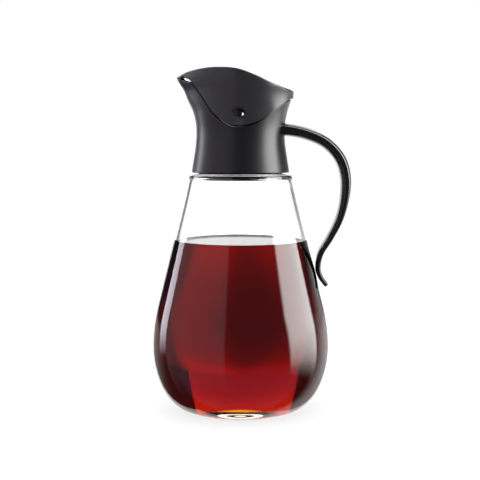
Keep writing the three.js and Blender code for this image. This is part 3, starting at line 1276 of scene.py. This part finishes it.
@dataclass(frozen=True)
class BacklitAcrylic:
    """Opal acrylic table lit from below, with only a faint shadow where the jar stands. Sizes in metres."""

    name: str
    colour: str = "#9a9a9a"
    roughness: float = 0.9
    strength: float = 0.78
    # The table as the syrup and the glass show it, in painted light and shade: where it is dimmest and
    # brightest, and how bright there, dimmest near the jar as a painted shadow of it
    glow_reach: Span = (0.14, 0.5)
    glow_level: Span = (0.3, 1.3)
    # Painted light of the softbox on the table, on its own side: along X, and how much brighter
    lit_side: Span = (0.0, 0.03)
    lit_side_level: float = 0.5
    far_side: Span = (-0.02, -0.05)
    far_side_level: float = 0.25
    # Beside the jar the table falls away into the dark room: along Y of its bearing, and what is left there
    bearing: Span = (0.87, 0.96)
    wings: float = 0.3

    def glow(self, tree: bpy.types.NodeTree) -> bpy.types.NodeSocket:
        """Build the brightness of the table as it is seen through the jar, as painted light and shade.

        Args:
            tree: The material's node tree.

        Returns:
            The socket with the brightness.
        """
        place = add_node(tree, "ShaderNodeTexCoord").outputs["Object"]
        reach = add_node(tree, "ShaderNodeVectorMath", {"operation": "LENGTH"}, {"0": place}).outputs["Value"]
        axes = add_node(tree, "ShaderNodeSeparateXYZ", {}, {"0": place})
        levels = []
        for along, span, level in (
            (reach, self.glow_reach, self.glow_level),
            (axes.outputs["X"], self.far_side, (0.0, self.far_side_level)),
            (axes.outputs["X"], self.lit_side, (0.0, self.lit_side_level)),
        ):
            places = {"in:From Min": span[0], "in:From Max": span[1]}
            values = {"in:To Min": level[0], "in:To Max": level[1]}
            levels.append(add_node(tree, RANGE, {**SMOOTH, **places, **values}, {"Value": along}).outputs[0])
        sides = add_node(tree, MATH, {"operation": "ADD"}, {"0": levels[1], "1": levels[2]})
        total = add_node(tree, MATH, {"operation": "ADD"}, {"0": levels[0], "1": sides.outputs[0]})
        bearing = add_node(tree, "ShaderNodeVectorMath", {"operation": "NORMALIZE"}, {"0": place})
        ahead = add_node(tree, "ShaderNodeSeparateXYZ", {}, {"0": bearing.outputs[0]})
        level = soft_edges(tree, ahead.outputs["Y"], [self.bearing], total.outputs[0])
        return add_node(tree, MATH, {"operation": "MAXIMUM", "in:1": self.wings}, {"0": level}).outputs[0]

    def material(self) -> bpy.types.Material:
        """Build the node material.

        Returns:
            The material.
        """
        material, tree, output = start_material(self.name)
        open_table = add_node(
            tree,
            "ShaderNodeBsdfPrincipled",
            {
                "in:Base Color": linear(self.colour),
                "in:Roughness": self.roughness,
                "in:Specular IOR Level": 0.0,
                "in:Emission Color": WHITE,
                "in:Emission Strength": self.strength,
            },
        )
        behind = add_node(tree, "ShaderNodeEmission", {"in:Color": WHITE}, {"Strength": self.glow(tree)})
        through = add_node(tree, "ShaderNodeLightPath").outputs["Is Transmission Ray"]
        shaders = {"0": through, "1": open_table.outputs[0], "2": behind.outputs[0]}
        both = add_node(tree, "ShaderNodeMixShader", {}, shaders)
        tree.links.new(both.outputs[0], output.inputs["Surface"])
        return material


@dataclass(frozen=True)
class Screen:
    """A lit screen round the table. Angles are in degrees from the camera's side towards the handle."""

    start: float
    end: float
    brightness: float
    # Height, as the sine of its elevation, where it begins and where it is fully bright
    foot: Span
    softness: float
    # How far its sides lean back with height, in degrees for each unit of that sine
    lean: float = 0
    colour: str = "#ffffff"

    def sides(self) -> list[Span]:
        """Where each side starts and where it is fully bright, in radians."""
        soft = self.softness
        return [
            (math.radians(self.start - soft), math.radians(self.start + soft)),
            (math.radians(self.end + soft), math.radians(self.end - soft)),
        ]


@dataclass
class Studio:
    """Camera, floor and lights. Sizes are in metres, the photograph's numbers in its pixels."""

    frame_px: float = 480
    focal_px: float = 1094.25
    sensor_mm: float = 36
    distance: float = 0.6404
    height: float = 0.15523
    aside: float = -0.0003
    tilt: float = math.radians(2.466)
    drop_px: float = 50
    floor_radius: float = 6.0
    # The floor lies a hair below the foot, so that the two faces don't flicker
    floor_drop: float = 0.0002
    room_light: float = 0.04
    room_colour: str = "#f6ecff"
    # A ray that has passed more faces than this has been through the syrup
    empty_glass_faces: float = 2.5
    # Directions below are X, Y or Z of a unit vector: where the light starts and where it is full
    table_behind: float = 0.6
    table_ahead: Span = (0.3, 0.95)
    table_heights: tuple[Span, Span] = ((-0.03, -0.09), (-0.6, -0.1))
    backdrop_brightness: float = 1.3
    backdrop_edge: Span = (0.43, 0.41)
    backdrop_shift: float = 0.03
    backdrop_ahead: Span = (0.3, 0.4)
    backdrop_rise: float = 0.35
    backdrop_rise_heights: Span = (0.1, 0.3)
    wing_brightness: float = 0.12
    wing_ahead: Span = (0.1, 0.4)
    screens: tuple[Screen, ...] = (
        Screen(start=65, end=113, brightness=9.0, foot=(-0.48, 0.12), softness=3, lean=10),
        Screen(start=118, end=152, brightness=0.75, foot=(0.12, 0.0), softness=12),
        Screen(start=-128, end=-112, brightness=5.5, foot=(-0.22, 0.02), softness=1, colour="#f4f2ff"),
        Screen(start=-111, end=-20, brightness=0.5, foot=(-0.8, 0.15), softness=1.5, colour="#faf4ff"),
        Screen(start=-90, end=90, brightness=0.1, foot=(-1.0, -0.9), softness=10, colour="#f6ecff"),
        Screen(start=-90, end=90, brightness=0.2, foot=(-0.2, -0.6), softness=10, colour="#b9a8f4"),
    )

    def camera(self) -> None:
        """Place the camera at the photograph's viewing angle."""
        data = bpy.data.cameras.new("camera")
        data.sensor_width = self.sensor_mm
        data.lens = self.focal_px / self.frame_px * self.sensor_mm
        data.shift_y = -self.drop_px / self.frame_px
        data.clip_start = 0.01
        data.clip_end = 50
        camera = bpy.data.objects.new("camera", data)
        camera.location = (self.aside, -self.distance, self.height)
        camera.rotation_euler = (math.radians(90) - self.tilt, 0, 0)
        bpy.context.scene.collection.objects.link(camera)
        bpy.context.scene.camera = camera

    def floor(self) -> None:
        """Lay the plain pale floor."""
        bm = bmesh.new()
        bmesh.ops.create_circle(bm, cap_ends=True, radius=self.floor_radius, segments=64)
        mesh = bpy.data.meshes.new("floor")
        bm.to_mesh(mesh)
        bm.free()
        floor = bpy.data.objects.new("floor", mesh)
        bpy.context.scene.collection.objects.link(floor)
        floor.location.z = -self.floor_drop
        floor.visible_glossy = False
        mesh.materials.append(BacklitAcrylic(name="backlit_opal_acrylic").material())

    def mirrored(self, tree: bpy.types.NodeTree, path: bpy.types.Node) -> bpy.types.NodeSocket:
        """Tell reflections in the outer faces and the empty glass from rays that come through the syrup.

        Args:
            tree: The world's node tree.
            path: Its light path node.

        Returns:
            A socket that is 1 for such a reflection, and otherwise 0.
        """
        limit = {"operation": "LESS_THAN", "in:1": self.empty_glass_faces}
        shallow = add_node(tree, MATH, limit, {"0": path.outputs["Transmission Depth"]})
        both = {"0": shallow.outputs[0], "1": path.outputs["Is Glossy Ray"]}
        return add_node(tree, MATH, {"operation": "MULTIPLY"}, both).outputs[0]

    def screen_lights(
        self, tree: bpy.types.NodeTree, axes: bpy.types.Node, mirrored: bpy.types.NodeSocket
    ) -> list[bpy.types.NodeSocket]:
        """Hang the screens, which show in reflections only.

        Args:
            tree: The world's node tree.
            axes: The node that splits the direction into X, Y and Z.
            mirrored: The socket that is 1 for a reflection.

        Returns:
            The light of each screen.
        """
        back = add_node(tree, MATH, {"operation": "MULTIPLY", "in:1": -1.0}, {"0": axes.outputs["Y"]})
        flat = {"0": axes.outputs["X"], "1": back.outputs[0]}
        azimuth = add_node(tree, MATH, {"operation": "ARCTAN2"}, flat)
        lights = []
        for screen in self.screens:
            lean = {"operation": "MULTIPLY_ADD", "in:1": math.radians(screen.lean)}
            leaning = add_node(tree, MATH, lean, {"0": axes.outputs["Z"], "2": azimuth.outputs[0]})
            level = soft_edges(tree, leaning.outputs[0], screen.sides(), screen.brightness)
            level = soft_edges(tree, axes.outputs["Z"], [screen.foot], level)
            kept = add_node(tree, MATH, {"operation": "MULTIPLY"}, {"0": level, "1": mirrored})
            colour = {"in:Color": linear(screen.colour)}
            lights.append(add_node(tree, BACKGROUND, colour, {"Strength": kept.outputs[0]}).outputs[0])
        return lights

    def table_light(
        self, tree: bpy.types.NodeTree, axes: bpy.types.Node, mirrored: bpy.types.NodeSocket
    ) -> bpy.types.NodeSocket:
        """Stand in for the table behind the jar in reflections, which don't show the floor.

        Args:
            tree: The world's node tree.
            axes: The node that splits the direction into X, Y and Z.
            mirrored: The socket that is 1 for a reflection.

        Returns:
            The table's light.
        """
        table = soft_edges(tree, axes.outputs["Y"], [self.table_ahead], self.table_behind)
        table = soft_edges(tree, axes.outputs["Z"], self.table_heights, table)
        kept = add_node(tree, MATH, {"operation": "MULTIPLY"}, {"0": table, "1": mirrored})
        return add_node(tree, BACKGROUND, {"in:Color": WHITE}, {"Strength": kept.outputs[0]}).outputs[0]

    def backdrop_light(
        self, tree: bpy.types.NodeTree, axes: bpy.types.Node, path: bpy.types.Node
    ) -> bpy.types.NodeSocket:
        """Hang the backdrop that lights the syrup from behind, with a dim wing on each side of it.

        Args:
            tree: The world's node tree.
            axes: The node that splits the direction into X, Y and Z.
            path: The light path node.

        Returns:
            The backdrop's light.
        """
        shift = {"operation": "ADD", "in:1": self.backdrop_shift}
        shifted = add_node(tree, MATH, shift, {"0": axes.outputs["X"]})
        aside = add_node(tree, MATH, {"operation": "ABSOLUTE"}, {"0": shifted.outputs[0]})
        backdrop = soft_edges(tree, aside.outputs[0], [self.backdrop_edge], self.backdrop_brightness)
        backdrop = soft_edges(tree, axes.outputs["Y"], [self.backdrop_ahead], backdrop)
        rise = soft_edges(tree, axes.outputs["Z"], [self.backdrop_rise_heights], self.backdrop_rise)
        upper = add_node(tree, MATH, {"operation": "ADD", "in:1": 1.0}, {"0": rise})
        risen = add_node(tree, MATH, {"operation": "MULTIPLY"}, {"0": backdrop, "1": upper.outputs[0]})
        wings = soft_edges(tree, axes.outputs["Y"], [self.wing_ahead], self.wing_brightness)
        through = {"0": wings, "1": path.outputs["Is Transmission Ray"]}
        kept = add_node(tree, MATH, {"operation": "MULTIPLY"}, through)
        total = add_node(tree, MATH, {"operation": "ADD"}, {"0": risen.outputs[0], "1": kept.outputs[0]})
        return add_node(tree, BACKGROUND, {"in:Color": WHITE}, {"Strength": total.outputs[0]}).outputs[0]

    def world(self) -> None:
        """Light the background white, and hang the lights that the glass, syrup and plastic show."""
        world = bpy.data.worlds.new("studio")
        bpy.context.scene.world = world
        world.use_nodes = True
        tree = world.node_tree
        tree.nodes.clear()
        output = tree.nodes.new("ShaderNodeOutputWorld")
        direction = add_node(tree, "ShaderNodeTexCoord").outputs["Generated"]
        axes = add_node(tree, "ShaderNodeSeparateXYZ", {}, {"0": direction})
        path = add_node(tree, "ShaderNodeLightPath")
        mirrored = self.mirrored(tree, path)
        room = {"in:Color": linear(self.room_colour), "in:Strength": self.room_light}
        total = add_node(tree, BACKGROUND, room).outputs[0]
        for light in (
            *self.screen_lights(tree, axes, mirrored),
            self.table_light(tree, axes, mirrored),
            self.backdrop_light(tree, axes, path),
        ):
            total = add_node(tree, "ShaderNodeAddShader", {}, {"0": total, "1": light}).outputs[0]
        direct = {"0": path.outputs["Is Camera Ray"], "1": path.outputs["Is Diffuse Ray"]}
        seen = add_node(tree, MATH, {"operation": "MAXIMUM"}, direct)
        white = add_node(tree, BACKGROUND, {"in:Color": WHITE, "in:Strength": 1.0})
        shaders = {"0": seen.outputs[0], "1": total, "2": white.outputs[0]}
        both = add_node(tree, "ShaderNodeMixShader", {}, shaders)
        tree.links.new(both.outputs[0], output.inputs["Surface"])

    def build(self) -> None:
        """Set up the whole studio."""
        bpy.context.scene.view_settings.view_transform = "Standard"
        self.camera()
        self.floor()
        self.world()


def main() -> None:
    """Build the studio and every piece of the dispenser."""
    logging.basicConfig(level=logging.INFO, format="%(name)s: %(message)s")
    Studio().build()
    Jar().build()
    form = FlaredBody()
    Collar(form).build()
    Lid(form).build()
    HingePin(form, Side.NEAR).build("pin_near")
    HingePin(form, Side.FAR).build("pin_far")
    Handle(form).build()


if __name__ == "__main__":
    main()
